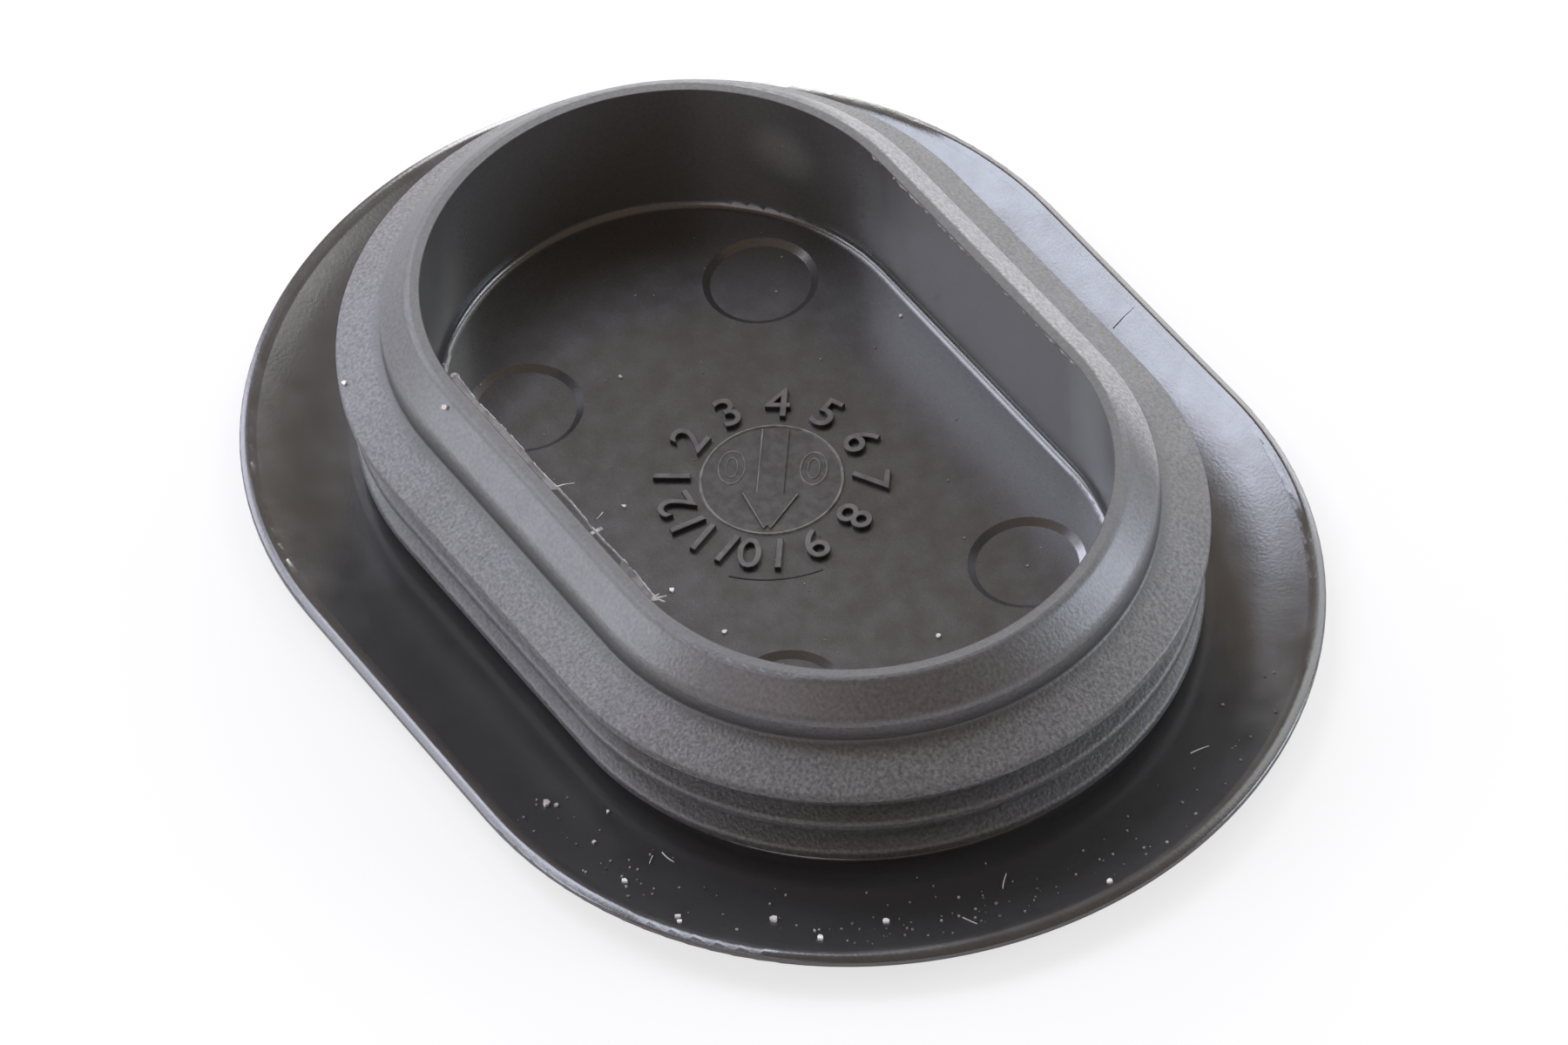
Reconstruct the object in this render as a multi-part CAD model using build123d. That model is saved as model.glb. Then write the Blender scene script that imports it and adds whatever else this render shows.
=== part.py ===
from build123d import *
import os

# Oblong blanking plug in soft moulded plastic. One moulding: a thin dished flange, a ribbed
# spigot that snaps into the panel hole, and a thin lip round an open cavity.
# Frame: origin under the middle of the flange, +X along the long axis, +Z up the spigot.
# Every radius is measured from the centre line of the oblong, so a straight side lies that far
# from the X axis and each end is an arc of that radius.

# Oblong path
half_straight = 7.5        # middle of the plug to the centre of each round end

# Flange
rim_radius = 20.6
rim_height = 1.32          # underside of the rim above the base
rim_thickness = 0.3
rim_round = rim_thickness / 3
dish_height = 1.15         # top of the flange where it meets the spigot
dish_gap = 1.2             # level ring round the neck, before the top of the flange climbs
crest_width = 0.8          # band along the rim where the top rolls over and falls again
crest_height = 1.72        # top of the flange where that band begins
base_radius = 13.0         # flat middle of the underside

# Spigot
neck_radius = 14.4         # bottom of the grooves and of the panel seat
neck_fillet = 0.3
rib_reach = 0.8            # how far a rib stands out of the neck
rib_radius = neck_radius + rib_reach
rib_land = 0.55            # height of a rib's blunt tip
rib_slope = 0.35           # how far a rib's upper flank falls on its way out
low_rib_height = 2.3       # middle of the lowest tip
mid_rib_height = 4.25
rib_corner = 0.22

# Lip
lip_height = 10.65
lip_inset = 1.0            # outside of the lip, in from the neck
lip_radius = neck_radius - lip_inset
chamfer_width = 1.35       # slanted face between the lip's outside and its flat land
chamfer_fall = 1.35
shoulder_height = lip_height - chamfer_fall
shoulder_round = 0.7
land_radius = lip_radius - chamfer_width
land_round = 0.45

# Ledge, which is the upper flank of the top rib
ledge_reach = 1.2
ledge_radius = neck_radius + ledge_reach
lip_wall = 1.25            # upright outside of the lip, from its shoulder to the ledge
ledge_root_height = shoulder_height - lip_wall
ledge_fall = 1.05
ledge_edge_height = ledge_root_height - ledge_fall
ledge_corner = 0.12
crease_fillet = 0.2

# Cavity
land_width = 0.62
mouth_radius = land_radius - land_width
wall_draft = 0.03
floor_radius = mouth_radius - wall_draft
floor_height = 2.95
floor_fillet = 0.4

# Round marks of the four ejector pins, with sloping edges
pin_radius = 2.7
pin_slope = 0.35           # width of the sloping edge
pin_depth = 0.22
pin_x = 10.8
pin_y = 6.5


def near(shape, radius, height):
    """The corner of the section that lies at this radius and height."""
    return shape.vertices().sort_by_distance(Vector(0, radius, height))[0]


def spigot_outline():
    """Corners of the spigot from the flange up to the ledge, going outside the ribs."""
    corners = [(neck_radius, dish_height)]
    for height in (low_rib_height, mid_rib_height):
        tip_top = height + rib_land / 2
        tip_bottom = height - rib_land / 2
        corners.append((neck_radius, tip_bottom))
        corners.append((rib_radius, tip_bottom))
        corners.append((rib_radius, tip_top))
        corners.append((neck_radius, tip_top + rib_slope))
    ledge_bottom = ledge_edge_height - rib_land
    corners.append((neck_radius, ledge_bottom))
    corners.append((ledge_radius, ledge_bottom))
    corners.append((ledge_radius, ledge_edge_height))
    return corners


def cup_outline():
    """Corners of the lip and cavity, from the ledge to the middle of the floor."""
    return [
        (ledge_radius, ledge_edge_height),
        (lip_radius, ledge_root_height),
        (lip_radius, shoulder_height),
        (land_radius, lip_height),
        (mouth_radius, lip_height),
        (floor_radius, floor_height),
        (0, floor_height),
    ]


def section():
    """Half section of the plug in the YZ plane, from the centre line outwards."""
    rim_edge = (rim_radius, rim_height + rim_thickness)
    crest_start = (rim_radius - crest_width, crest_height)
    dish_start = (neck_radius + dish_gap, dish_height)
    with BuildSketch(Plane.YZ) as sketch:
        with BuildLine():
            Line((0, 0), (base_radius, 0))
            TangentArc((base_radius, 0), (rim_radius, rim_height), tangent=(1, 0))
            Line((rim_radius, rim_height), rim_edge)
            dish = TangentArc(dish_start, crest_start, tangent=(1, 0))
            TangentArc(crest_start, rim_edge, tangent=dish % 1)
            Line(dish_start, (neck_radius, dish_height))
            Polyline(*spigot_outline())
            Polyline(*cup_outline())
            Line((0, floor_height), (0, 0))
        make_face()
    face = sketch.sketch
    face = fillet(near(face, *rim_edge), rim_round)
    face = fillet(near(face, rim_radius, rim_height), rim_round)
    face = fillet(near(face, neck_radius, dish_height), neck_fillet)
    face = fillet(near(face, lip_radius, ledge_root_height), crease_fillet)
    face = fillet(near(face, lip_radius, shoulder_height), shoulder_round)
    face = fillet(near(face, land_radius, lip_height), land_round)
    face = fillet(near(face, floor_radius, floor_height), floor_fillet)
    rib_tips = []
    for height in (low_rib_height, mid_rib_height):
        rib_tips.append(near(face, rib_radius, height - rib_land / 2))
        rib_tips.append(near(face, rib_radius, height + rib_land / 2))
    face = fillet(rib_tips, rib_corner)
    ledge_tip = [
        near(face, ledge_radius, ledge_edge_height - rib_land),
        near(face, ledge_radius, ledge_edge_height),
    ]
    return fillet(ledge_tip, ledge_corner)


def plug_body():
    """The section carried along both straight sides and round both ends."""
    half = section()
    side = extrude(half, half_straight, both=True)
    straight = side + mirror(side, Plane.XZ)
    end_axis = Axis((half_straight, 0, 0), (0, 0, -1))
    end = revolve(Pos(half_straight, 0, 0) * half, end_axis, 180)
    body = straight + end + mirror(end, Plane.YZ)
    outline = Circle(pin_radius)
    bottom = Pos(0, 0, -pin_depth) * Circle(pin_radius - pin_slope)
    mark = Pos(0, 0, floor_height) * loft([outline, bottom])
    for x in (-pin_x, pin_x):
        for y in (-pin_y, pin_y):
            body -= Pos(x, y, 0) * mark
    return body


os.makedirs("parts", exist_ok=True)
export_step(plug_body(), "parts/plug_body.step")
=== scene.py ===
# %% [markdown]
# # An oblong blanking plug in soft black plastic
# The plug closes an oblong hole in sheet metal. It is one moulding: a thin flange that lies on
# the panel, a ribbed spigot that snaps into the hole, and a lip round an open cavity. The solid
# comes from the CAD model, so this file only dresses it: a finish for the moulding, the raised
# figures of the date dial, the moulder's flash, a scratch, and the dust of a workbench.
# The plastic is soft, close to rubber, so the finishes here are named for rubber.

# %% Load the moulding
import math
import random
import bmesh
import bpy
from mathutils import Matrix, Vector


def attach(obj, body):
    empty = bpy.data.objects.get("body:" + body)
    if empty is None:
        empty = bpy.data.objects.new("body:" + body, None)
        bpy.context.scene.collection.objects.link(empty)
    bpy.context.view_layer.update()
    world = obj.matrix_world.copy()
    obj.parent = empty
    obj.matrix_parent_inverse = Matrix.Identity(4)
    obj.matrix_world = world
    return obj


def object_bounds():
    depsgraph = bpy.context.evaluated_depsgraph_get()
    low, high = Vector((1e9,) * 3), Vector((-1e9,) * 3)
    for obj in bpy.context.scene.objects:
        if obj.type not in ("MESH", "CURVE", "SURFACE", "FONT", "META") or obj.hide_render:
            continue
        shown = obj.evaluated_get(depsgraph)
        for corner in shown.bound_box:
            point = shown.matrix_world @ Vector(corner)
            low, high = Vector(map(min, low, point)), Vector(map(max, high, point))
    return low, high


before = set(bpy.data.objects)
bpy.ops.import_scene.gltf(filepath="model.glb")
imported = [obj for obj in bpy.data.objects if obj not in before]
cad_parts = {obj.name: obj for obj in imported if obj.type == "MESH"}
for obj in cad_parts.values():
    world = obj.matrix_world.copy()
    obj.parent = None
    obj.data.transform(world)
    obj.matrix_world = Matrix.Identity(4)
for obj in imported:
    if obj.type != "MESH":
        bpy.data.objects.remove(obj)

CAD_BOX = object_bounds()
print("nodes:", list(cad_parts), "box:", CAD_BOX)

# %% [markdown]
# ## Sizes
# The oblong is two half circles joined by straight sides. Its length and width say where the
# centres of the half circles are, so both are taken from the model's own box. Heights inside the
# moulding are those of the CAD model, because a box can't give them. Blender works in metres and
# a maker in millimetres, so a size is written as a number of MM.

# %% Sizes of the moulding
MM = 0.001
low, high = Vector(CAD_BOX[0]), Vector(CAD_BOX[1])
size = high - low
half_straight = (size.x - size.y) / 2
floor_height = 2.95 * MM
print("half straight %.2f mm, rim radius %.2f mm" % (half_straight / MM, size.y / 2 / MM))

# %% [markdown]
# ## Camera
# A long lens from well back keeps the oblong's sides almost parallel, so that its shape reads
# truly. The camera looks down about 49 degrees at one corner of the plug and is rolled a little.
# A turn of the camera can be given as three angles, but it is easier to follow as three axes:
# one to the right of the view, one up it, and one back from the plug to the camera.

# %% Camera
azimuth = math.radians(60.39)
elevation = math.radians(48.93)
roll = math.radians(-5.75)
CAMERA_LENS, CAMERA_SENSOR = 212.1, 36
CAMERA_DISTANCE = 420.8 * MM
AIM_HEIGHT, AIM_RIGHT, AIM_DOWN = 1.5 * MM, 0.282 * MM, 0.827 * MM
back = Vector((
    math.sin(azimuth) * math.cos(elevation),
    -math.cos(azimuth) * math.cos(elevation),
    math.sin(elevation),
))
right = Vector((math.cos(azimuth), math.sin(azimuth), 0))
up = back.cross(right)
camera_data = bpy.data.cameras.new("camera")
camera_data.lens = CAMERA_LENS
camera_data.sensor_width = CAMERA_SENSOR
camera_data.clip_start = 10 * MM
camera = bpy.data.objects.new("camera", camera_data)
bpy.context.scene.collection.objects.link(camera)
aim = Vector((0, 0, AIM_HEIGHT)) + right * AIM_RIGHT - up * AIM_DOWN
rolled_right = right * math.cos(roll) + up * math.sin(roll)
rolled_up = up * math.cos(roll) - right * math.sin(roll)
turn = Matrix((rolled_right, rolled_up, back)).transposed().to_4x4()
camera.matrix_world = Matrix.Translation(aim + back * CAMERA_DISTANCE) @ turn
bpy.context.scene.camera = camera
print("camera at", tuple(round(v, 4) for v in camera.location))

# %% [markdown]
# ## Floor, world and lamps
# The plug lies on a white table in a dim room, between large softboxes that stand behind it and
# at both sides. What the plug mirrors matters more than what falls on it, because a black
# moulding scatters little light: the flange at the back is bright as it mirrors the main softbox,
# and the side near the camera is dark as it mirrors the room. The camera sees the table and the
# room at full white, so no edge of a backdrop shows, and the plug keeps its soft shadow.

# %% Floor
FLOOR_WHITE, FLOOR_GLOW = 0.9, 0.7
FLOOR_REACH = 1.5
floor_mesh = bpy.data.meshes.new("floor")
shape = bmesh.new()
bmesh.ops.create_grid(shape, x_segments=1, y_segments=1, size=FLOOR_REACH)
shape.to_mesh(floor_mesh)
shape.free()
floor = bpy.data.objects.new("floor", floor_mesh)
bpy.context.scene.collection.objects.link(floor)
floor_paint = bpy.data.materials.new("white_floor")
floor_paint.use_nodes = True
floor_tree = floor_paint.node_tree
floor_shader = floor_tree.nodes["Principled BSDF"]
floor_shader.inputs["Base Color"].default_value = (FLOOR_WHITE, FLOOR_WHITE, FLOOR_WHITE, 1)
floor_shader.inputs["Roughness"].default_value = 0.9
floor_glow = floor_tree.nodes.new("ShaderNodeEmission")
floor_ray = floor_tree.nodes.new("ShaderNodeLightPath")
glow_share = floor_tree.nodes.new("ShaderNodeMath")
glow_share.operation = "MULTIPLY"
glow_share.inputs[1].default_value = FLOOR_GLOW
floor_mix = floor_tree.nodes.new("ShaderNodeMixShader")
floor_tree.links.new(floor_ray.outputs["Is Camera Ray"], glow_share.inputs[0])
floor_tree.links.new(glow_share.outputs["Value"], floor_mix.inputs["Fac"])
floor_tree.links.new(floor_shader.outputs["BSDF"], floor_mix.inputs[1])
floor_tree.links.new(floor_glow.outputs["Emission"], floor_mix.inputs[2])
floor_tree.links.new(floor_mix.outputs["Shader"], floor_tree.nodes["Material Output"].inputs["Surface"])
floor_mesh.materials.append(floor_paint)
print("floor: %.0f m square, white %.2f" % (2 * FLOOR_REACH, FLOOR_WHITE))

# %% World
ROOM_GLOW = 0.26
WARM_GREY = (1, 0.75, 0.55, 1)
world = bpy.data.worlds.new("dim_room")
bpy.context.scene.world = world
world.use_nodes = True
room = world.node_tree
room_light = room.nodes["Background"]
room_light.inputs["Color"].default_value = WARM_GREY
room_light.inputs["Strength"].default_value = ROOM_GLOW
seen_white = room.nodes.new("ShaderNodeBackground")
seen_white.inputs["Strength"].default_value = 1
ray = room.nodes.new("ShaderNodeLightPath")
choice = room.nodes.new("ShaderNodeMixShader")
room.links.new(ray.outputs["Is Camera Ray"], choice.inputs["Fac"])
room.links.new(room_light.outputs["Background"], choice.inputs[1])
room.links.new(seen_white.outputs["Background"], choice.inputs[2])
room.links.new(choice.outputs["Shader"], room.nodes["World Output"].inputs["Surface"])
print("world:", world.name, "glow", ROOM_GLOW)

# %% Lamps
LAMP_DISTANCE = 0.6


def softbox(name, turn_deg, elevation_deg, spread_deg, brightness, tint):
    """A square lamp that looks at the plug; it is turned from straight behind, plus to the right."""
    a = azimuth + math.pi - math.radians(turn_deg)
    e = math.radians(elevation_deg)
    towards = Vector((math.sin(a) * math.cos(e), -math.cos(a) * math.cos(e), math.sin(e)))
    width = 2 * LAMP_DISTANCE * math.tan(math.radians(spread_deg) / 2)
    lamp = bpy.data.lights.new(name, "AREA")
    lamp.size = width
    lamp.energy = brightness * math.pi * width ** 2
    lamp.color = tint
    holder = bpy.data.objects.new(name, lamp)
    bpy.context.scene.collection.objects.link(holder)
    holder.location = towards * LAMP_DISTANCE
    holder.rotation_euler = towards.to_track_quat("Z", "Y").to_euler()


# Each row: name, degrees round, degrees up, degrees that it spans, brightness, tint.
LAMPS = [
    ("back_low", 0, 14, 24, 7.6, (0.98, 1.0, 1.0)),
    ("back_right", 28, 19, 22, 3.6, (1.0, 1.0, 1.0)),
    ("back_high", -30, 60, 20, 6.2, (0.78, 0.84, 1.0)),
    ("left_high", -60, 50, 20, 3.6, (0.83, 0.86, 1.0)),
    ("left_back", -45, 28, 26, 5.8, (0.81, 0.83, 1.0)),
    ("left_low", -90, 20, 28, 5.2, (0.82, 0.88, 1.0)),
    ("right_low", 90, 20, 28, 7.5, (0.76, 0.85, 1.0)),
    ("right_back", 45, 28, 24, 2.5, (0.83, 0.86, 1.0)),
    ("right_high", 45, 50, 24, 2.3, (0.94, 0.99, 1.0)),
    ("front_left", -140, 35, 34, 0.95, (1.0, 0.89, 1.0)),
]
for lamp_row in LAMPS:
    softbox(*lamp_row)
print("lamps:", len(LAMPS), "at", LAMP_DISTANCE, "m")

# %% [markdown]
# ## Finish of the moulding
# The mould is polished where the plug has its flange and its cavity, which leaves a soft gloss
# with faint draw marks. Round the lip, the ledge and the ribs it is spark-eroded, which leaves a
# fine grain that glitters a little. Painted masks could do this, but the zones are plain rings
# round the oblong, so one material works out how far a point lies from the spine of the oblong
# and gives each ring its own grey, gloss and grain. The spine is the line between the centres of
# the two half circles. Small functions stand for the nodes, so that the material reads like sums.

# %% Finish: the material and its coordinates
moulded_rubber = bpy.data.materials.new("moulded_rubber")
moulded_rubber.use_nodes = True
nodes, links = moulded_rubber.node_tree.nodes, moulded_rubber.node_tree.links
shader = nodes["Principled BSDF"]
shader.inputs["IOR"].default_value = 1.65
coordinates = nodes.new("ShaderNodeTexCoord")
parts = nodes.new("ShaderNodeSeparateXYZ")
links.new(coordinates.outputs["Object"], parts.inputs["Vector"])
x_place, y_place, z_place = parts.outputs
print("material:", moulded_rubber.name)


# %% Finish: helpers
def maths(operation, first, second=None, third=None):
    """A maths node; each input is a socket or a number."""
    node = nodes.new("ShaderNodeMath")
    node.operation = operation
    for k, value in enumerate((first, second, third)):
        if isinstance(value, bpy.types.NodeSocket):
            links.new(value, node.inputs[k])
        elif value is not None:
            node.inputs[k].default_value = value
    return node.outputs[0]


def step(value, low_edge, high_edge):
    """A smooth step from 0 at the low edge to 1 at the high edge."""
    node = nodes.new("ShaderNodeMapRange")
    node.interpolation_type = "SMOOTHSTEP"
    links.new(value, node.inputs["Value"])
    node.inputs["From Min"].default_value = low_edge
    node.inputs["From Max"].default_value = high_edge
    return node.outputs["Result"]


def past(value, edge, softness=0.06 * MM):
    """0 below an edge and 1 above it, with a smooth step that reaches this far to either side."""
    return step(value, edge - softness, edge + softness)


def flip(share):
    """0 where the share is 1, and 1 where it is 0."""
    return maths("SUBTRACT", 1, share)


def blend(share, first, second):
    """The first number where the share is 0 and the second where it is 1."""
    return maths("MULTIPLY_ADD", share, maths("SUBTRACT", second, first), first)


def noise(size, detail, stretch=(1, 1, 1)):
    """Noise with patches of about this size, from 0 to 1, on the moulding's own coordinates."""
    mapping = nodes.new("ShaderNodeMapping")
    mapping.inputs["Scale"].default_value = stretch
    links.new(coordinates.outputs["Object"], mapping.inputs["Vector"])
    node = nodes.new("ShaderNodeTexNoise")
    node.inputs["Scale"].default_value = 1 / size
    node.inputs["Detail"].default_value = detail
    links.new(mapping.outputs["Vector"], node.inputs["Vector"])
    return node.outputs["Fac"]


def swing(pattern, amount):
    """How far noise is above or below its middle, times an amount."""
    return maths("MULTIPLY", maths("SUBTRACT", pattern, 0.5), amount)


# %% Finish: the four rings
MOUTH, LIP_FOOT, LEDGE_EDGE, NECK_FOOT = 11.5 * MM, 13.43 * MM, 15.75 * MM, 1.5 * MM
along = maths("MAXIMUM", maths("SUBTRACT", maths("ABSOLUTE", x_place), half_straight), 0)
across = maths("MULTIPLY", y_place, y_place)
spine_distance = maths("SQRT", maths("MULTIPLY_ADD", along, along, across))
past_mouth = past(spine_distance, MOUTH)
past_lip = past(spine_distance, LIP_FOOT)
on_flange = maths("MAXIMUM", past(spine_distance, LEDGE_EDGE), flip(past(z_place, NECK_FOOT)))


def by_ring(cavity, lip, ledge, flange):
    """A number that has its own value in the cavity, on the lip, on the ledge and on the flange."""
    inner = blend(past_lip, blend(past_mouth, cavity, lip), ledge)
    return blend(on_flange, inner, flange)


print("nodes for the rings:", len(nodes))

# %% [markdown]
# ## Wear and painted light on the moulding
# A handled plug isn't even. The shoulder of the lip on its far side is painted pale, a painted
# reflection of the bright table behind it, and the ledge below it is painted darker, as painted
# shade. One spot in the cavity is scuffed, and the flange has lost some of its shine at its very
# edge. The crease between the lip and the ledge is painted dark, as painted shade. Each of these is
# a mask, a number from 0 to 1 that a height or a distance gives, so it needs no painted map and
# follows the shape.

# %% Finish: masks by height
LEDGE_UNDERSIDE, LAND_HEIGHT = 6.5 * MM, 10.5 * MM
WALL_START, WALL_FULL = floor_height + 0.1 * MM, floor_height + 0.5 * MM
on_ledge = past(z_place, LEDGE_UNDERSIDE)
on_land = past(z_place, LAND_HEIGHT)
above_floor = step(z_place, WALL_START, WALL_FULL)
print("nodes with the masks by height:", len(nodes))

# %% Finish: masks of wear and of painted sheen
WORN_RIM, WORN_SOFTNESS = 20.3 * MM, 0.15 * MM
FAR_START, FAR_FULL = 10.5 * MM, 12.3 * MM
# Painted reflection: past this distance on the far side, the lip's shoulder is painted pale for the
# bright table it mirrors.
FAR_SHEEN_START = 11.9 * MM
SCUFF_SPOT = Vector((-13.35, 9.8, 7.3)) * MM
SCUFF_MIDDLE, SCUFF_REACH = 0.3 * MM, 2.3 * MM
on_rim = past(spine_distance, WORN_RIM, WORN_SOFTNESS)
far_side = step(y_place, FAR_START, FAR_FULL)
painted_far_sheen = maths("MULTIPLY", far_side, past(spine_distance, FAR_SHEEN_START))
scuff_distance = nodes.new("ShaderNodeVectorMath")
scuff_distance.operation = "DISTANCE"
scuff_distance.inputs[1].default_value = SCUFF_SPOT
links.new(coordinates.outputs["Object"], scuff_distance.inputs[0])
scuff = flip(step(scuff_distance.outputs["Value"], SCUFF_MIDDLE, SCUFF_REACH))
print("nodes with the masks of wear:", len(nodes))

# %% Finish: mask of the painted shade in the crease under the lip
# Painted shade: the crease where the lip meets the ledge is darkened in the base colour.
CREASE_HEIGHT, CREASE_MIDDLE, CREASE_REACH = 8.15 * MM, 0.1 * MM, 0.8 * MM
from_crease = maths("SQRT", maths(
    "ADD",
    maths("POWER", maths("SUBTRACT", spine_distance, LIP_FOOT), 2),
    maths("POWER", maths("SUBTRACT", z_place, CREASE_HEIGHT), 2),
))
crease_shade_mask = flip(step(from_crease, CREASE_MIDDLE, CREASE_REACH))
print("nodes with the crease:", len(nodes))

# %% Finish: grey
FLOOR_GREY, WALL_GREY, SCUFF_GREY = 0.047, 0.08, 0.17
# The pale grey of the lip's far shoulder is a painted reflection of the bright table behind it.
LIP_GREY, LAND_GREY, FAR_SHEEN_GREY = 0.045, 0.03, 0.2
# The darker grey of the ledge on the far side is painted shade.
NECK_GREY, LEDGE_GREY, FAR_LEDGE_SHADE_GREY = 0.033, 0.067, 0.045
FLANGE_GREY = 0.037
DARKEST_SPECK, CREASE_SHADE = 0.1, 0.2
grain = noise(0.17 * MM, 2)
cavity_grey = blend(scuff, blend(above_floor, FLOOR_GREY, WALL_GREY), SCUFF_GREY)
lip_grey = blend(painted_far_sheen, blend(on_land, LIP_GREY, LAND_GREY), FAR_SHEEN_GREY)
ledge_grey = blend(on_ledge, NECK_GREY, blend(far_side, LEDGE_GREY, FAR_LEDGE_SHADE_GREY))
grey = by_ring(cavity_grey, lip_grey, ledge_grey, FLANGE_GREY)
speckle = swing(grain, by_ring(cavity=0.4, lip=2.6, ledge=4.2, flange=0.5))
specks = maths("MAXIMUM", maths("ADD", speckle, 1), DARKEST_SPECK)
# The speckle of the grain, times the painted shade of the crease.
shade = maths("MULTIPLY", specks, blend(crease_shade_mask, 1, CREASE_SHADE))
links.new(maths("MULTIPLY", grey, shade), shader.inputs["Base Color"])
print("nodes with the grey:", len(nodes))

# %% Finish: gloss
LIP_ROUGHNESS, LAND_ROUGHNESS = 0.46, 0.52
NEW_SHINE, WORN_SHINE = 1, 0.8
clouds = noise(1.6 * MM, 3)
draw_marks = noise(1.1 * MM, 2, stretch=(1, 1, 0.08))
lip_roughness = blend(on_land, LIP_ROUGHNESS, LAND_ROUGHNESS)
ring_roughness = by_ring(cavity=0.24, lip=lip_roughness, ledge=0.56, flange=0.23)
cloud_change = swing(clouds, by_ring(cavity=0.06, lip=0.1, ledge=0.15, flange=0.14))
mark_change = swing(draw_marks, by_ring(cavity=0.12, lip=0, ledge=0, flange=0))
roughness = maths("ADD", ring_roughness, maths("ADD", cloud_change, mark_change))
links.new(roughness, shader.inputs["Roughness"])
links.new(blend(on_rim, NEW_SHINE, WORN_SHINE), shader.inputs["Specular IOR Level"])
print("nodes with the gloss:", len(nodes))

# %% [markdown]
# ## Tight roll and grain
# The dished flange keeps its slope almost to its edge, where it rolls over tightly, so a bright
# line runs along its far rim and its near side. A rounder edge in the mesh would spread that
# line, so a first bump turns the light instead. Its height grows as the square of the way past
# the crest of the dish, because the slope of a square grows evenly. A second bump adds the grain.

# %% Finish: tight roll at the flange's edge
CREST, ROLL_START, ROLL_END = 19.8 * MM, 20.15 * MM, 20.35 * MM
NEAR_FULL, NEAR_END, NEAR_BEND = -17 * MM, -9 * MM, 230
RIM_START, RIM_FULL, FAR_BEND = 18.2 * MM, 19.8 * MM, 515
near_side = flip(step(y_place, NEAR_FULL, NEAR_END))
far_rim = step(y_place, RIM_START, RIM_FULL)
bend = maths("MULTIPLY_ADD", near_side, NEAR_BEND, maths("MULTIPLY", far_rim, FAR_BEND))
past_crest = maths("MAXIMUM", maths("SUBTRACT", spine_distance, CREST), 0)
tight_roll = nodes.new("ShaderNodeBump")
tight_roll.inputs["Distance"].default_value = 1
links.new(maths("MULTIPLY", maths("POWER", past_crest, 2), bend), tight_roll.inputs["Height"])
links.new(flip(step(spine_distance, ROLL_START, ROLL_END)), tight_roll.inputs["Strength"])
print("nodes with the roll:", len(nodes))

# %% Finish: grain, and the material on the moulding
GRAIN_DEPTH = 0.04 * MM
grain_bump = nodes.new("ShaderNodeBump")
grain_bump.inputs["Distance"].default_value = GRAIN_DEPTH
grain_strength = by_ring(cavity=0.05, lip=0.45, ledge=0.8, flange=0.12)
links.new(tight_roll.outputs["Normal"], grain_bump.inputs["Normal"])
links.new(grain_strength, grain_bump.inputs["Strength"])
links.new(grain, grain_bump.inputs["Height"])
links.new(grain_bump.outputs["Normal"], shader.inputs["Normal"])
for cad_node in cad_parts.values():
    for material_place in cad_node.material_slots:
        material_place.material = moulded_rubber
print("finish nodes:", len(nodes))

# %% [markdown]
# ## Finishes of the small things
# The dial's figures were cut into a steel pin, so they come out duller than the polished floor
# round them, and their steep sides are darkened as painted shade. The marks on its core are paler
# still, and its rim and the arrow's edges carry painted highlights. Flash is the same rubber, torn
# thin, so it catches more light, and the pale line along its frayed edge is a painted highlight.
# Dust is pale lint. One function makes all of these finishes, because they differ only in their
# tones, the size of their patches, their roughness and how much painted shade darkens their sides.

# %% Small finishes: how one is made
RAMP_START, RAMP_END = 0.35, 0.65
STEEP, LEVEL = 0.4, 0.9


def plain_finish(name, dark, light, patch, roughness, side_shade=1):
    """A finish that wanders between two tones in patches of one size; its sides can carry painted
    shade.
    """
    material = bpy.data.materials.new(name)
    material.use_nodes = True
    tree = material.node_tree
    surface = tree.nodes["Principled BSDF"]
    surface.inputs["Roughness"].default_value = roughness
    place = tree.nodes.new("ShaderNodeTexCoord")
    cloud = tree.nodes.new("ShaderNodeTexNoise")
    cloud.inputs["Scale"].default_value = 1 / patch
    ramp = tree.nodes.new("ShaderNodeValToRGB")
    ramp.color_ramp.elements[0].position = RAMP_START
    ramp.color_ramp.elements[0].color = (*dark, 1)
    ramp.color_ramp.elements[1].position = RAMP_END
    ramp.color_ramp.elements[1].color = (*light, 1)
    tree.links.new(place.outputs["Object"], cloud.inputs["Vector"])
    tree.links.new(cloud.outputs["Fac"], ramp.inputs["Fac"])
    # Painted shade: faces steeper than level are darkened towards side_shade by their normal.
    facing = tree.nodes.new("ShaderNodeNewGeometry")
    upward = tree.nodes.new("ShaderNodeSeparateXYZ")
    level = tree.nodes.new("ShaderNodeMapRange")
    level.inputs["From Min"].default_value = STEEP
    level.inputs["From Max"].default_value = LEVEL
    level.inputs["To Min"].default_value = side_shade
    tone = tree.nodes.new("ShaderNodeMix")
    tone.data_type = "RGBA"
    tone.blend_type = "MULTIPLY"
    tone.inputs["Factor"].default_value = 1
    tree.links.new(facing.outputs["Normal"], upward.inputs["Vector"])
    tree.links.new(upward.outputs["Z"], level.inputs["Value"])
    tree.links.new(ramp.outputs["Color"], tone.inputs["A"])
    tree.links.new(level.outputs["Result"], tone.inputs["B"])
    tree.links.new(tone.outputs["Result"], surface.inputs["Base Color"])
    return material


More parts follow.
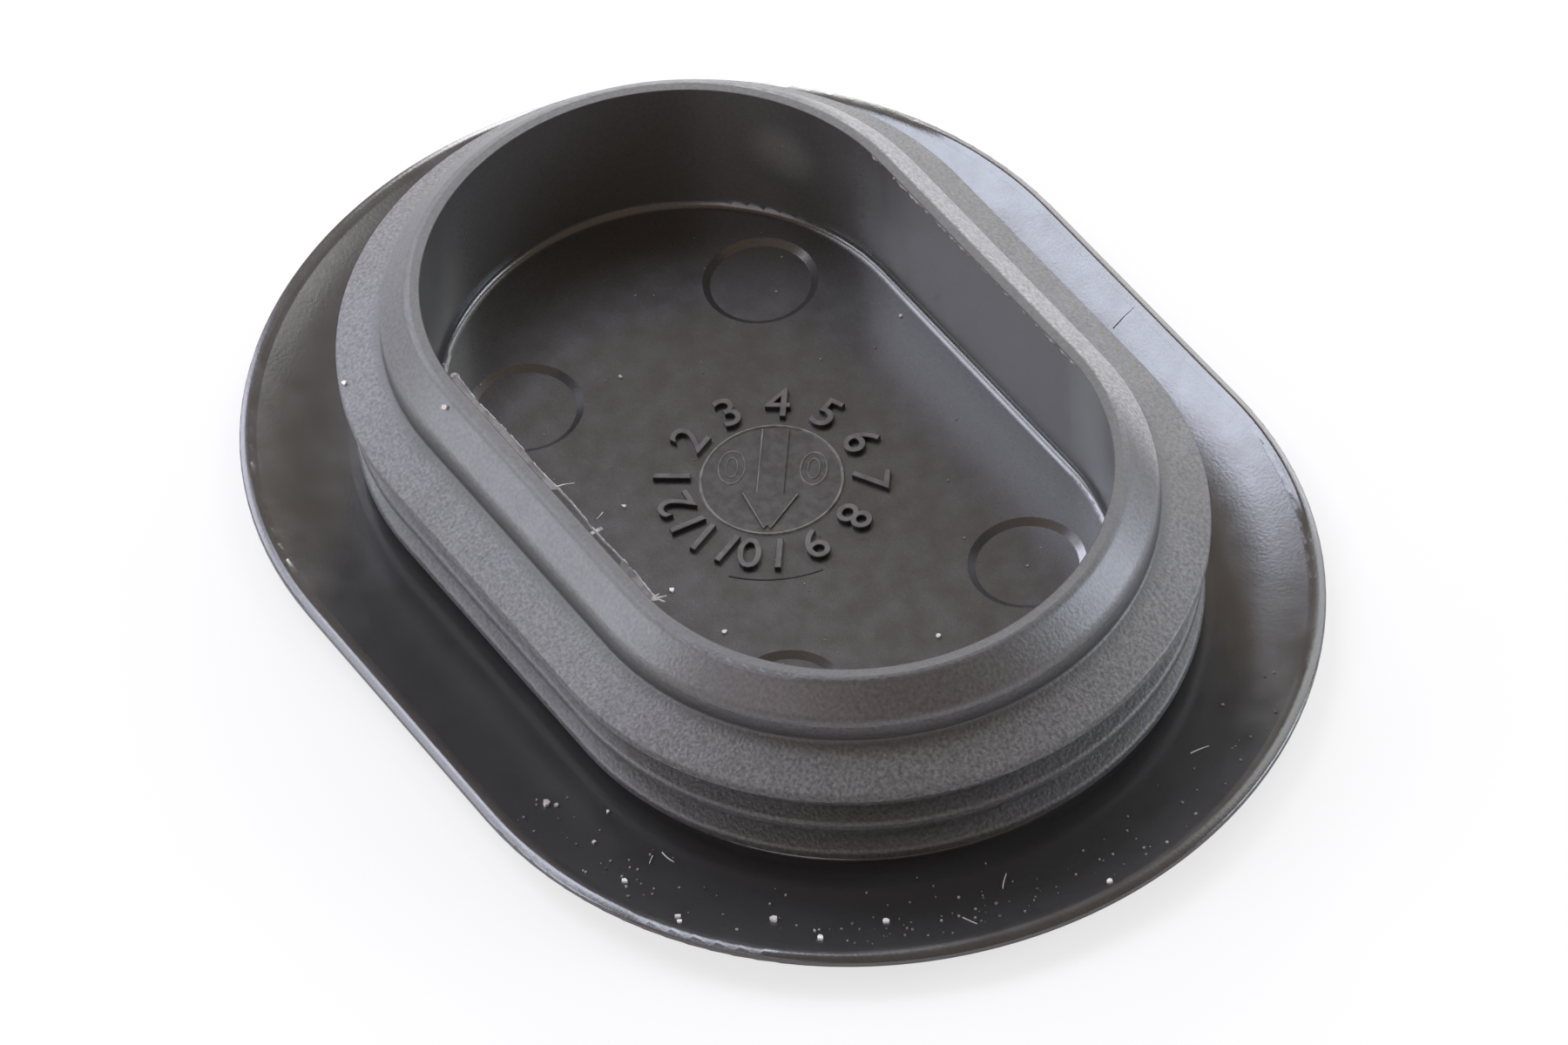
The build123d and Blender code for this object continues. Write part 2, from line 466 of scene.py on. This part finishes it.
# %% Small finishes: one for each kind of piece
# The figures' steep sides, and less so the core's, are darkened as painted shade by side_shade.
figure_finish = plain_finish(
    "engraved_rubber", (0.1, 0.092, 0.09), (0.16, 0.15, 0.145), 0.5 * MM, 0.45, side_shade=0.15,
)
core_finish = plain_finish(
    "worn_rubber", (0.075, 0.07, 0.067), (0.11, 0.105, 0.102), 0.4 * MM, 0.3, side_shade=0.8,
)
flash_finish = plain_finish(
    "torn_rubber", (0.08, 0.078, 0.075), (0.18, 0.175, 0.17), 0.5 * MM, 0.4,
)
# Pale edge finish: fraying on the flash, and a painted highlight along the film's outer edge.
edge_and_highlight_finish = plain_finish(
    "frayed_rubber_and_painted_highlight", (0.16, 0.155, 0.15), (0.42, 0.41, 0.4), 0.4 * MM, 0.4,
)
speck_finish = plain_finish(
    "pale_lint", (0.5, 0.46, 0.45), (0.95, 0.95, 0.93), 1.5 * MM, 0.8,
)
# Dark lines: painted shade along the dial's insert, and the real scratch on the flange.
shade_and_scratch_finish = plain_finish(
    "painted_shade_and_scratch", (0.008, 0.008, 0.008), (0.03, 0.028, 0.027), 0.8 * MM, 0.7,
)
# Pale marks of the core; on its rim and the arrow's edges the paleness is a painted highlight.
marks_and_highlight_finish = plain_finish(
    "pale_rubber_and_painted_highlight", (0.14, 0.135, 0.13), (0.26, 0.25, 0.24), 0.5 * MM, 0.35,
)
dust_finish = plain_finish(
    "fine_dust", (0.07, 0.06, 0.06), (0.4, 0.36, 0.36), 0.6 * MM, 0.8,
)
print("materials:", [material.name for material in bpy.data.materials])

# %% [markdown]
# ## Shapes for new pieces
# A piece starts as an empty bmesh. Small shapes are made one by one with bmesh operators and are
# put into it at their places, and at the end it becomes one object. The object itself stays at
# the origin, with its place in its mesh, so that a pattern on Object coordinates keeps its scale.
# Every new piece rides on the plug and has a finish of its own.

# %% Shapes: a piece, and one shape put into another
MERGE_DISTANCE = 1e-7


def add_piece(name, shape, finish, smooth=True):
    """Makes an object of a bmesh, in the moulding's own frame, and lets it ride on the plug."""
    bmesh.ops.remove_doubles(shape, verts=shape.verts, dist=MERGE_DISTANCE)
    bmesh.ops.recalc_face_normals(shape, faces=shape.faces)
    mesh = bpy.data.meshes.new(name)
    shape.to_mesh(mesh)
    shape.free()
    mesh.materials.append(finish)
    for face in mesh.polygons:
        face.use_smooth = smooth
    piece = bpy.data.objects.new(name, mesh)
    bpy.context.scene.collection.objects.link(piece)
    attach(piece, "root")
    print(name, len(mesh.polygons), "faces")


def add_mesh(shape, mesh, place):
    """Puts a mesh into a bmesh at its place, and clears the mesh away."""
    mesh.transform(place)
    shape.from_mesh(mesh)
    bpy.data.meshes.remove(mesh)


def add_shape(shape, extra, place):
    """Puts one bmesh into another at its place."""
    mesh = bpy.data.meshes.new("extra")
    extra.to_mesh(mesh)
    extra.free()
    add_mesh(shape, mesh, place)


def thicken(sheet, rise):
    """Gives a flat bmesh a wall of this height, and so a second side."""
    raised = bmesh.ops.extrude_face_region(sheet, geom=sheet.faces[:])
    tops = [corner for corner in raised["geom"] if isinstance(corner, bmesh.types.BMVert)]
    bmesh.ops.translate(sheet, verts=tops, vec=(0, 0, rise))


# %% Shapes: text, ring, plate and whisker
FIGURE_SPACING, FIGURE_BEVEL = 1.1, 0.025 * MM
RING_STEPS = 96
FIBRE_SIDES, FIBRE_TAPER = 5, 0.5


def add_text(shape, words, height, rise, place):
    """Puts a raised word, centred on its own middle, into a bmesh at its place."""
    letters = bpy.data.curves.new("letters", "FONT")
    letters.body = words
    letters.align_x = "CENTER"
    letters.align_y = "CENTER"
    letters.size = height
    letters.space_character = FIGURE_SPACING
    letters.extrude = rise
    letters.bevel_depth = FIGURE_BEVEL
    letters.bevel_resolution = 0
    letters.resolution_u = 4
    holder = bpy.data.objects.new("letters", letters)
    bpy.context.scene.collection.objects.link(holder)
    solid_text = holder.evaluated_get(bpy.context.evaluated_depsgraph_get())
    mesh = bpy.data.meshes.new_from_object(solid_text)
    bpy.data.objects.remove(holder)
    bpy.data.curves.remove(letters)
    add_mesh(shape, mesh, place)


def add_ring(shape, radius, width, height, place, turn_deg=360):
    """A low round ridge with sloping sides, spun round its own axis for a whole turn or less."""
    ridge = bmesh.new()
    profile = [(-width / 2, 0), (-width / 5, height), (width / 5, height), (width / 2, 0)]
    corners = [ridge.verts.new((radius + offset, 0, rise)) for offset, rise in profile]
    sides = [ridge.edges.new(pair) for pair in zip(corners, corners[1:] + corners[:1])]
    bmesh.ops.spin(
        ridge, geom=corners + sides, cent=(0, 0, 0), axis=(0, 0, 1),
        angle=math.radians(turn_deg), steps=RING_STEPS, use_merge=turn_deg == 360,
    )
    add_shape(shape, ridge, place)


def add_plate(shape, outline, slope, height, place):
    """A raised flat shape on an outline in millimetres, with sloping sides."""
    plate = bmesh.new()
    face = plate.faces.new([plate.verts.new((x * MM, y * MM, 0)) for x, y in outline])
    plate.normal_update()
    bmesh.ops.inset_region(plate, faces=[face], thickness=slope, depth=height)
    bmesh.ops.holes_fill(plate, edges=plate.edges[:])
    add_shape(shape, plate, place)


def add_whisker(shape, points, radius):
    """A thin fibre through points in millimetres, which tapers to its end."""
    whisker = bmesh.new()
    last = len(points) - 1
    for k, point in enumerate(points):
        ring = bmesh.ops.create_circle(whisker, segments=FIBRE_SIDES, radius=1)["verts"]
        ahead = Vector(points[min(k + 1, last)]) - Vector(points[max(k - 1, 0)])
        turn = ahead.to_track_quat("Z", "X").to_matrix().to_4x4()
        reach = radius * (1 - FIBRE_TAPER * k / last) * MM
        place = Matrix.Translation(Vector(point) * MM) @ turn @ Matrix.Scale(reach, 4)
        bmesh.ops.transform(whisker, matrix=place, verts=ring)
    bmesh.ops.bridge_loops(whisker, edges=whisker.edges[:])
    add_shape(shape, whisker, Matrix())


# %% [markdown]
# ## Date dial
# The real dial is a round steel insert in the mould, with a core that the moulder turns to the
# month. Both leave their figures standing on the cavity's floor: twelve numbers round a ring,
# with an arrow and the digits of the year inside it. Numbers could be drawn in a texture, but
# they stand high enough to cast shadows, so they are modelled, from text that becomes a mesh.

# %% Date dial: where it lies and how it is turned
dial_centre = Vector((-0.25, 0.05, 0)) * MM + Vector((0, 0, floor_height))
dial_turn = math.radians(52)
dial_place = Matrix.Translation(dial_centre) @ Matrix.Rotation(dial_turn, 4, "Z")
print("dial centre, mm:", tuple(round(v / MM, 2) for v in dial_centre))

# %% Date dial: numbers of the months
figure_size, figure_middle, figure_rise = 2.45 * MM, 4.45 * MM, 0.24 * MM
FIRST_MONTH, MONTH_STEP = 180, 30
shape = bmesh.new()
for month in range(1, 13):
    angle = math.radians(FIRST_MONTH - MONTH_STEP * (month - 1))
    outward = Matrix.Rotation(angle - math.pi / 2, 4, "Z")
    place = dial_place @ outward @ Matrix.Translation((0, figure_middle, 0))
    add_text(shape, str(month), figure_size, figure_rise, place)
add_piece("dial_months", shape, figure_finish, smooth=False)

# %% [markdown]
# ## Seam round the dial's insert
# The steel insert leaves a hair-thin line where it meets the mould, and only a stretch of it
# shows, on the side where its edge throws shade. A groove would have to be cut into the CAD solid,
# so the line is a dark ridge instead, lower than a hair is thick; its dark colour is painted shade
# along that stretch of the seam.

# %% Date dial: painted shade along the seam of the insert
insert_radius, seam_width, seam_rise = 5.95 * MM, 0.1 * MM, 0.02 * MM
SEAM_START, SEAM_TURN = -105, 42
shape = bmesh.new()
seam_place = dial_place @ Matrix.Rotation(math.radians(SEAM_START), 4, "Z")
# The dark ridge here is painted shade along the insert's edge.
add_ring(shape, insert_radius, seam_width, seam_rise, seam_place, turn_deg=SEAM_TURN)
add_piece("dial_insert_seam_shade", shape, shade_and_scratch_finish)

# %% [markdown]
# ## Core of the dial
# The core stands a little proud of the floor and carries an arrow that points to the month. It
# is a disc, and the arrow is an outline that is inset and raised in one step, so that its sides
# slope as a cutter leaves them. The outline is given by half widths and by places along it.

# %% Date dial: core with its arrow
core_radius, core_rise = 3.25 * MM, 0.03 * MM
arrow_slope, arrow_rise = 0.1 * MM, 0.1 * MM
SHAFT, HEAD, TIP = 0.6, 1.25, 0.15
TAIL, BARB, NOSE, NOTCH = 3.05, -0.9, -3.0, -2.75
shape = bmesh.new()
disc = bmesh.new()
bmesh.ops.create_circle(disc, cap_ends=True, segments=RING_STEPS, radius=core_radius)
thicken(disc, core_rise)
add_shape(shape, disc, dial_place)
arrow = [
    (-SHAFT, TAIL), (-SHAFT, BARB), (-HEAD, BARB), (-TIP, NOSE), (0, NOTCH), (TIP, NOSE),
    (HEAD, BARB), (SHAFT, BARB), (SHAFT, TAIL),
]
add_plate(shape, arrow, arrow_slope, arrow_rise, dial_place)
add_piece("dial_core", shape, core_finish, smooth=False)

# %% [markdown]
# ## Marks and painted highlights of the core
# The core's own rim and three edges of the arrow are pale as painted highlights, and the two
# digits beside the arrow are pale too. The digits are narrow rings, each a round one that is
# squeezed on one axis, and the highlighted edges are thin fibres laid on the arrow. They are one
# piece, because they share a finish.

# %% Date dial: rim, digits and edges with painted highlights
rim_width, rim_rise = 0.2 * MM, 0.1 * MM
digit_side, digit_along, digit_rise = 1.88 * MM, 0.7 * MM, 0.05 * MM
DIGIT_RINGS = [(0.98 * MM, 0.13 * MM, 0.62), (0.6 * MM, 0.11 * MM, 0.45)]
GLINT_SIDE, GLINT_SHORT, GLINT_RADIUS = SHAFT + 0.02, 0.05, 0.05
glint_height = 0.11 * MM
shape = bmesh.new()
# The pale rim and the pale fibres on the arrow's edges are painted highlights; the digits are raised
# marks.
add_ring(shape, core_radius, rim_width, rim_rise, dial_place)
for side in (-1, 1):
    digit_place = dial_place @ Matrix.Translation((side * digit_side, digit_along, core_rise))
    for radius, width, squeeze in DIGIT_RINGS:
        squeezed = digit_place @ Matrix.Diagonal((squeeze, 1, 1, 1))
        add_ring(shape, radius, width, digit_rise, squeezed)
glint_edges = [
    ((-GLINT_SIDE, TAIL - GLINT_SHORT), (-GLINT_SIDE, BARB)),
    ((-HEAD, BARB), (-TIP, NOSE + GLINT_SHORT)),
    ((HEAD, BARB), (TIP, NOSE + GLINT_SHORT)),
]
for ends in glint_edges:
    glint_line = bmesh.new()
    add_whisker(glint_line, [(x, y, 0) for x, y in ends], GLINT_RADIUS)
    add_shape(shape, glint_line, dial_place @ Matrix.Translation((0, 0, glint_height)))
add_piece("dial_marks_and_highlights", shape, marks_and_highlight_finish, smooth=False)

# %% [markdown]
# ## Flash
# A worn mould lets a film of rubber creep between its halves at the mouth of the cavity. It
# stands inwards along the near straight side, thin and frayed, with a bead at one end, a torn
# stretch and a few whiskers. Displacing the lip's own edge could give a rough edge but no film,
# so the flash is modelled as thin strips. A worn edge is uneven without a rule, so chance sets
# how far it reaches, from a fixed start, and the result is the same at every run.

# %% Flash: helpers
MOUTH_EDGE, FILM_HEIGHT = 11.43, 10.6
chance = random.Random(7)


def at_mouth(x, inwards, above=0, side=-1):
    """A point in millimetres, from a straight edge of the mouth: side is -1 near and 1 far."""
    return (x, side * (MOUTH_EDGE - inwards), FILM_HEIGHT + above)


def add_film(shape, inner, outer, thickness):
    """A thin strip between two rows of points in millimetres, closed all round."""
    film = bmesh.new()
    rows = [[film.verts.new(Vector(point) * MM) for point in row] for row in (inner, outer)]
    for k in range(len(inner) - 1):
        film.faces.new((rows[0][k], rows[0][k + 1], rows[1][k + 1], rows[1][k]))
    bmesh.ops.recalc_face_normals(film, faces=film.faces)
    thicken(film, -thickness * MM)
    add_shape(shape, film, Matrix())


# %% Flash: film along the near straight side of the mouth
film_start, film_end, film_step = -8.1, 8.3, 0.2
torn_start, torn_end = 0.2, 5.7
FILM_REACH, REACH_WAVE, REACH_CHANCE = 0.32, 0.04, 0.015
FILM_SAG, TORN_WIDTH, TUCKED_IN, FILM_THICKNESS = 0.02, 0.09, -0.03, 0.05
shape = bmesh.new()
count = round((film_end - film_start) / film_step)
inner, outer = [], []
for k in range(count + 1):
    x = film_start + k * film_step
    reach = FILM_REACH + REACH_WAVE * math.sin(1.3 * x) + chance.uniform(-REACH_CHANCE, REACH_CHANCE)
    sag = FILM_SAG * math.sin(2.3 * x + 1)
    torn = torn_start < x < torn_end
    inner.append(at_mouth(x, reach - TORN_WIDTH if torn else TUCKED_IN, sag))
    outer.append(at_mouth(x, reach, sag))
add_film(shape, inner, outer, FILM_THICKNESS)
add_piece("mouth_flash", shape, flash_finish, smooth=False)

# %% Flash: its frayed edge with a painted highlight, nib, whiskers and bead
FRAY_HIGHLIGHT_SHARE, FRAY_HIGHLIGHT_RADIUS = 0.85, 0.035
nib_x, nib_half, nib_thickness = 3.35, 0.09, 0.08
shape = bmesh.new()
# Pale whiskers along the film's outer edge: partly fraying, partly the painted highlight of that edge.
for first in range(0, count, 2):
    if chance.random() < FRAY_HIGHLIGHT_SHARE:
        add_whisker(shape, outer[first:first + 3], FRAY_HIGHLIGHT_RADIUS)
nib_sides = [
    [at_mouth(nib_x + side, inwards) for inwards in (-0.05, 0.3, 0.62)]
    for side in (-nib_half, nib_half)
]
add_film(shape, nib_sides[0], nib_sides[1], nib_thickness)
torn_strand = [at_mouth(0.1, 0.23, -0.02), at_mouth(0.2, 0.58), at_mouth(0.45, 1.08, 0.02)]
add_whisker(shape, torn_strand, 0.06)
for lean in (-0.25, 0.05, 0.3):
    tip = at_mouth(8.35 + lean, 0.76 - abs(lean))
    add_whisker(shape, [at_mouth(8.2, -0.02, -0.05), at_mouth(8.25 + lean / 2, 0.33), tip], 0.07)
bead = bmesh.new()
bmesh.ops.create_icosphere(bead, subdivisions=2, radius=0.26 * MM)
add_shape(shape, bead, Matrix.Translation(Vector(at_mouth(-8.3, 0.28, -0.24)) * MM))
add_piece("mouth_flash_edge", shape, edge_and_highlight_finish, smooth=False)

# %% Flash: rough edge along the far straight side
BURRS, BURR_THICKNESS = 40, 0.06
shape = bmesh.new()
for _ in range(BURRS):
    x = chance.uniform(-8.5, 8.4)
    long, reach = chance.uniform(0.15, 0.9), chance.uniform(0.03, 0.1)
    points = (x, x + long / 2, x + long)
    edge_row = [at_mouth(p, -0.04, side=1) for p in points]
    tip_row = [at_mouth(p, r, 0.02, side=1) for p, r in zip(points, (0.01, reach, 0.01))]
    add_film(shape, edge_row, tip_row, BURR_THICKNESS)
add_piece("far_edge_flash", shape, edge_and_highlight_finish, smooth=False)

# %% [markdown]
# ## Dust
# Dust is pale lint: uneven flakes and short curled fibres. A speckle in the material would stay
# flat, so each grain is a small solid, laid on the moulding where a ray from above meets it and
# turned to the slope there. The larger specks have places of their own. The fine dust is
# scattered by chance, as it would settle.

# %% Dust: helpers that lay small things on the moulding
RAY_HEIGHT = 50 * MM
FLAKE_SIDES, FLAKE_THICKNESS = 6, 0.4
FIBRE_RADIUS, FIBRE_LIFT, FIBRE_CURL = 0.027, 0.04, 0.25
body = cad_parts["plug_body"]


def surface_place(x, y):
    """Where a ray from above meets the moulding at x, y millimetres, with z along its normal."""
    _, spot, normal, _ = body.ray_cast(Vector((x * MM, y * MM, RAY_HEIGHT)), Vector((0, 0, -1)))
    turn = normal.to_track_quat("Z", "X").to_matrix().to_4x4()
    return Matrix.Translation(spot) @ turn


def add_flake(shape, x, y, size_mm):
    """An uneven flat flake of dust."""
    flake = bmesh.new()
    corners = bmesh.ops.create_circle(
        flake, cap_ends=True, segments=FLAKE_SIDES, radius=size_mm / 2 * MM,
    )
    for corner in corners["verts"]:
        corner.co *= chance.uniform(0.6, 1.25)
    thicken(flake, size_mm * FLAKE_THICKNESS * MM)
    add_shape(shape, flake, surface_place(x, y))


def add_fibre(shape, x, y, long, angle):
    """A short curled fibre of lint."""
    fibre = bmesh.new()
    curl = chance.uniform(-FIBRE_CURL, FIBRE_CURL)
    steps = (-0.5, -0.25, 0, 0.25, 0.5)
    points = [(long * t, long * curl * (t * t - 0.25), FIBRE_LIFT) for t in steps]
    add_whisker(fibre, points, FIBRE_RADIUS)
    add_shape(shape, fibre, surface_place(x, y) @ Matrix.Rotation(angle, 4, "Z"))


# %% Dust: specks on the flange and in the cavity
FLAKES = (
    (8.3, -17.9, 0.36), (8.6, -17.6, 0.24), (11.4, -17.4, 0.2), (19.9, -13.5, 0.36),
    (22.1, -12.5, 0.3), (22.9, -9.6, 0.28), (27.2, -0.6, 0.26), (14.2, -17.6, 0.26),
    (10.2, -15.9, 0.2), (17.4, -16.9, 0.26), (17.7, -17.0, 0.2), (-7.1, -12.4, 0.3),
    (-9.7, -2.0, 0.22), (-3.0, -6.2, 0.22), (2.5, -7.2, 0.26), (12.0, 0.8, 0.26),
    (-5.0, 10.4, 0.2), (6.0, -6.7, 0.24), (-13.7, -14.0, 0.26),
)
FIBRES = (
    (13.7, -15.9, 0.5, 20), (14.0, -15.2, 0.8, 75), (23.2, 7.1, 0.9, 60),
    (-3.2, -7.4, 0.5, 110), (25.2, -6.7, 0.8, 40), (24.1, -4.1, 0.9, 150),
)
shape = bmesh.new()
for x, y, size_mm in FLAKES:
    add_flake(shape, x, y, size_mm)
for x, y, long, turn_deg in FIBRES:
    add_fibre(shape, x, y, long, math.radians(turn_deg))
add_piece("dust_specks", shape, speck_finish, smooth=False)

# %% [markdown]
# ## Scratch
# Something sharp has drawn a short dark line across the far side of the flange. A scratch could
# be cut, but the CAD mesh is left alone, so a hair-thin dark fibre follows the flange there.

# %% Scratch across the far side of the flange
SCRATCH, SCRATCH_RADIUS = ((0.43, 18.5), (0.26, 19.2), (0.18, 19.9)), 0.03
shape = bmesh.new()
scratch_points = [surface_place(x, y).translation / MM for x, y in SCRATCH]
add_whisker(shape, scratch_points, SCRATCH_RADIUS)
add_piece("flange_scratch", shape, shade_and_scratch_finish)

# %% Dust: fine dust along the front of the flange and in the cavity
FLANGE_GRAINS, CAVITY_GRAINS = 150, 60
END_CENTRE, DUST_EDGE, DUST_MIDDLE, DUST_SPREAD = 7.5, 20.2, 19.6, 1.5
CAVITY_REACH = 10.6
shape = bmesh.new()
for _ in range(FLANGE_GRAINS):
    lean = math.radians(chance.gauss(-30, 38))
    reach = min(DUST_EDGE, DUST_MIDDLE - abs(chance.gauss(0, DUST_SPREAD)))
    x, y = END_CENTRE + reach * math.cos(lean), reach * math.sin(lean)
    if x > END_CENTRE:
        add_flake(shape, x, y, chance.uniform(0.05, 0.15))
for _ in range(CAVITY_GRAINS):
    x, y = chance.uniform(-15, 16), chance.uniform(-10.4, 10.4)
    if math.hypot(max(abs(x) - END_CENTRE, 0), y) < CAVITY_REACH:
        add_flake(shape, x, y, chance.uniform(0.05, 0.13))
add_piece("fine_dust", shape, dust_finish, smooth=False)

# %% [markdown]
# ## View
# Dressing must not change the size of the plug. The Standard view shows a colour about as it is
# written.

# %% Standard view
bpy.context.scene.view_settings.view_transform = "Standard"
